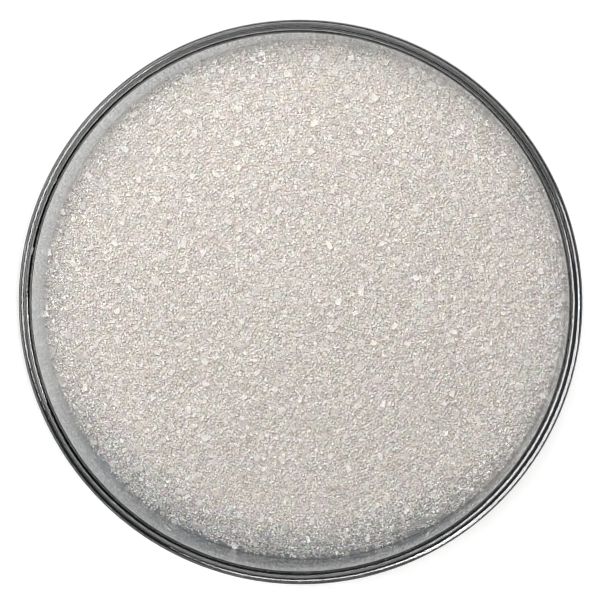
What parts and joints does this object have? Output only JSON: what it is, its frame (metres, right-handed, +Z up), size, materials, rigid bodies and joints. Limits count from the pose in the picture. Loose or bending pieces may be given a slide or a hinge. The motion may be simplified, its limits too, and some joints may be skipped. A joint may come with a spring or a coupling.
{
  "type": "glass dish of granulated sugar",
  "caption": "Round shallow clear glass dish with a rounded lip, holding a level bed of loose white granulated sugar crystals.",
  "frame": {"origin": "centre of the dish's flat base, where it stands on the table", "axes": "+Z up along the dish's axis, out of its open top; +X and +Y lie in the base and are the picture's right and up"},
  "size_m": [0.09, 0.09, 0.018],
  "materials": {
    "clear_glass": "clear soda-lime glass, pressed and fire-polished",
    "white_sugar": "loose off-white crystals, glinting on their flat faces"
  },
  "bodies": {
    "root": {"dish": "clear_glass", "sugar": "white_sugar"}
  },
  "joints": []
}
